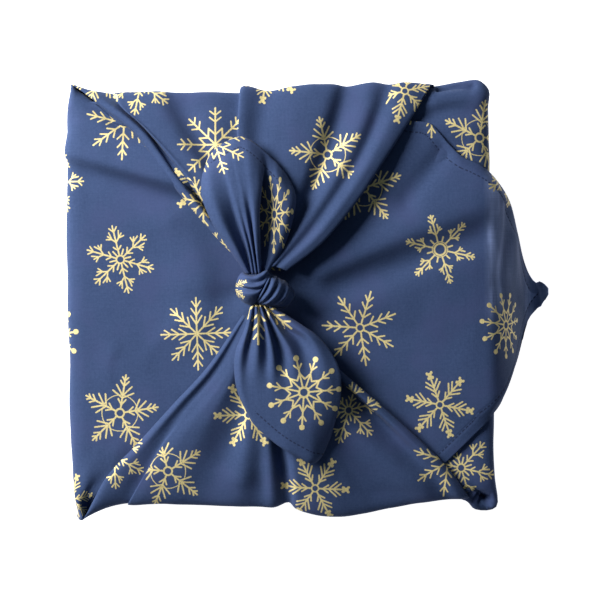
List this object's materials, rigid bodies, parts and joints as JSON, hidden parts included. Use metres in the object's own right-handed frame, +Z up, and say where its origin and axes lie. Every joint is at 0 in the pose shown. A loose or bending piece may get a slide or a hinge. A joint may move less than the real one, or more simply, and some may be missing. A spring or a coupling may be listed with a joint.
{
  "type": "furoshiki wrap on a gift box",
  "caption": "Square hemmed cloth folded round a flat gift box and knotted on top, with two ear-like ends and a corner that hangs over one edge.",
  "frame": {"origin": "on the plane that the bundle rests on, close to the middle of the box", "axes": "+Z up, +X towards the edge that the loose corner of the cloth hangs over, +Y towards the edge that the upper ear points at"},
  "size_m": [0.2945, 0.2613, 0.0754],
  "materials": {
    "printed_cotton": "navy plain-weave cotton with gold snowflake print, matte",
    "box_board": "plain uncoated board"
  },
  "bodies": {
    "root": {"wrap_cloth": "printed_cotton", "gift_box": "box_board"}
  },
  "joints": []
}
